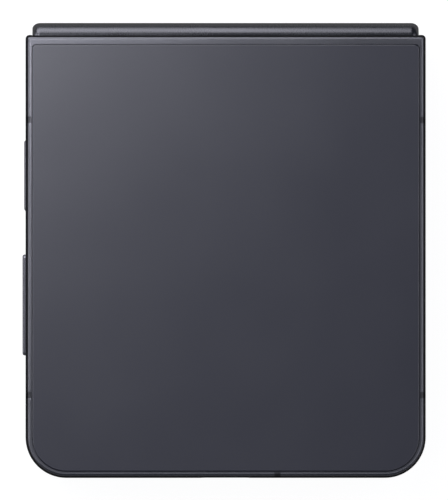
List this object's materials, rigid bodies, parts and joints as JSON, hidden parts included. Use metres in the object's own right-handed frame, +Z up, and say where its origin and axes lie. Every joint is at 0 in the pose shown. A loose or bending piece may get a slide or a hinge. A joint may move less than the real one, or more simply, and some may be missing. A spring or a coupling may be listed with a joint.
{
  "type": "foldable smartphone",
  "caption": "Clamshell foldable smartphone, closed, with a geared double hinge, folding inner display, cover display, camera pair and side keys.",
  "frame": {"origin": "middle of the closed phone's outline, at the level of the lens rings it stands on", "axes": "+X across the phone with the keys at -X, +Y towards the hinge, +Z up through the rear glass"},
  "size_m": [0.0758, 0.0856, 0.0146],
  "materials": {
    "frame_metal": "satin anodised",
    "hinge_metal": "satin anodised",
    "antenna_plastic": "matte moulded",
    "rear_glass": "etched satin glass over a dark grey coating",
    "cover_glass": "polished black-backed glass",
    "lens_glass": "polished coated glass",
    "display": "glossy flexible panel, switched off",
    "bezel_plastic": "matte moulded",
    "rubber_pads": "soft matte",
    "camera_metal": "polished rim",
    "black_plastic": "fine moulded",
    "led": "phosphor under a clear lens",
    "steel": "brushed",
    "plate_metal": "bead blasted",
    "board": "solder mask",
    "battery_foil": "black film over foil",
    "copper": "enamelled wire",
    "ferrite": "dull sheet",
    "flex": "polyimide film",
    "gear_brass": "machined"
  },
  "bodies": {
    "base": {"base_frame": "frame_metal", "base_antenna_bands": "antenna_plastic", "base_midplate": "plate_metal", "cover_glass": "cover_glass", "cover_display_panel": "display", "lens_rings": "camera_metal", "lens_glasses": "lens_glass", "rear_cameras": "black_plastic", "flash_led": "led", "front_camera": "black_plastic", "main_board": "board", "shield_cans": "steel", "base_battery": "battery_foil", "earpiece_speaker": "black_plastic", "vibration_motor": "steel", "sim_reader": "steel", "key_switches": "flex", "base_display_panel": "display", "base_bezel": "bezel_plastic", "base_bumpers": "rubber_pads", "base_hinge_arms": "steel", "base_support_plate": "steel", "base_screws": "steel", "base_flex_cable": "flex"},
    "sim_tray": {"sim_tray": "frame_metal"},
    "power_key": {"power_key": "frame_metal"},
    "volume_key": {"volume_key": "frame_metal"},
    "spine": {"hinge_cover": "hinge_metal", "hinge_end_caps": "black_plastic", "hinge_brackets": "steel", "gear_pins": "steel", "hinge_flex_cable": "flex", "display_fold": "display"},
    "lid": {"lid_frame": "frame_metal", "lid_antenna_bands": "antenna_plastic", "lid_midplate": "plate_metal", "rear_glass": "rear_glass", "charging_coil": "copper", "ferrite_sheet": "ferrite", "lid_battery": "battery_foil", "sub_board": "board", "usb_port": "steel", "loudspeaker": "black_plastic", "microphone": "steel", "lid_display_panel": "display", "lid_bezel": "bezel_plastic", "lid_hinge_arms": "steel", "lid_support_plate": "steel", "lid_screws": "steel", "lid_flex_cable": "flex"},
    "base_sync_gears": {"base_sync_gears": "gear_brass"},
    "base_idler_gears": {"base_idler_gears": "gear_brass"},
    "lid_idler_gears": {"lid_idler_gears": "gear_brass"},
    "lid_sync_gears": {"lid_sync_gears": "gear_brass"}
  },
  "joints": [
    {"name": "base_fold", "type": "hinge", "parent": "base", "child": "spine", "pos_m": [0, 0.03939, 0.00655], "axis": [-1, 0, 0], "range_deg": [0, 90]},
    {"name": "lid_fold", "type": "hinge", "parent": "spine", "child": "lid", "pos_m": [0, 0.03939, 0.00895], "axis": [-1, 0, 0], "range_deg": [0, 90]},
    {"name": "base_sync_gear_spin", "type": "hinge", "parent": "spine", "child": "base_sync_gears", "pos_m": [0, 0.04099, 0.00535], "axis": [-1, 0, 0], "range_deg": [-135, 135]},
    {"name": "base_idler_gear_spin", "type": "hinge", "parent": "spine", "child": "base_idler_gears", "pos_m": [0, 0.04099, 0.00695], "axis": [-1, 0, 0], "range_deg": [-135, 135]},
    {"name": "lid_idler_gear_spin", "type": "hinge", "parent": "spine", "child": "lid_idler_gears", "pos_m": [0, 0.04099, 0.00855], "axis": [-1, 0, 0], "range_deg": [-135, 135]},
    {"name": "lid_sync_gear_spin", "type": "hinge", "parent": "spine", "child": "lid_sync_gears", "pos_m": [0, 0.04099, 0.01015], "axis": [-1, 0, 0], "range_deg": [-135, 135]},
    {"name": "power_key_press", "type": "slide", "parent": "base", "child": "power_key", "axis": [1, 0, 0], "range_m": [0, 0.00025], "stiffness_N_per_m": 400, "springref_m": -0.002},
    {"name": "volume_key_rock", "type": "hinge", "parent": "base", "child": "volume_key", "pos_m": [-0.036, -0.01028, 0.00415], "axis": [0, 0, 1], "range_deg": [-1, 1], "stiffness_Nm_per_rad": 0.3},
    {"name": "sim_tray_slide", "type": "slide", "parent": "base", "child": "sim_tray", "axis": [1, 0, 0], "range_m": [0, 0.021]}
  ],
  "couplings": [
    {"joint": "lid_fold", "follows": "base_fold", "ratio": 1},
    {"joint": "base_sync_gear_spin", "follows": "base_fold", "ratio": 1.5},
    {"joint": "base_idler_gear_spin", "follows": "base_fold", "ratio": -1.5},
    {"joint": "lid_idler_gear_spin", "follows": "base_fold", "ratio": 1.5},
    {"joint": "lid_sync_gear_spin", "follows": "base_fold", "ratio": -1.5}
  ]
}
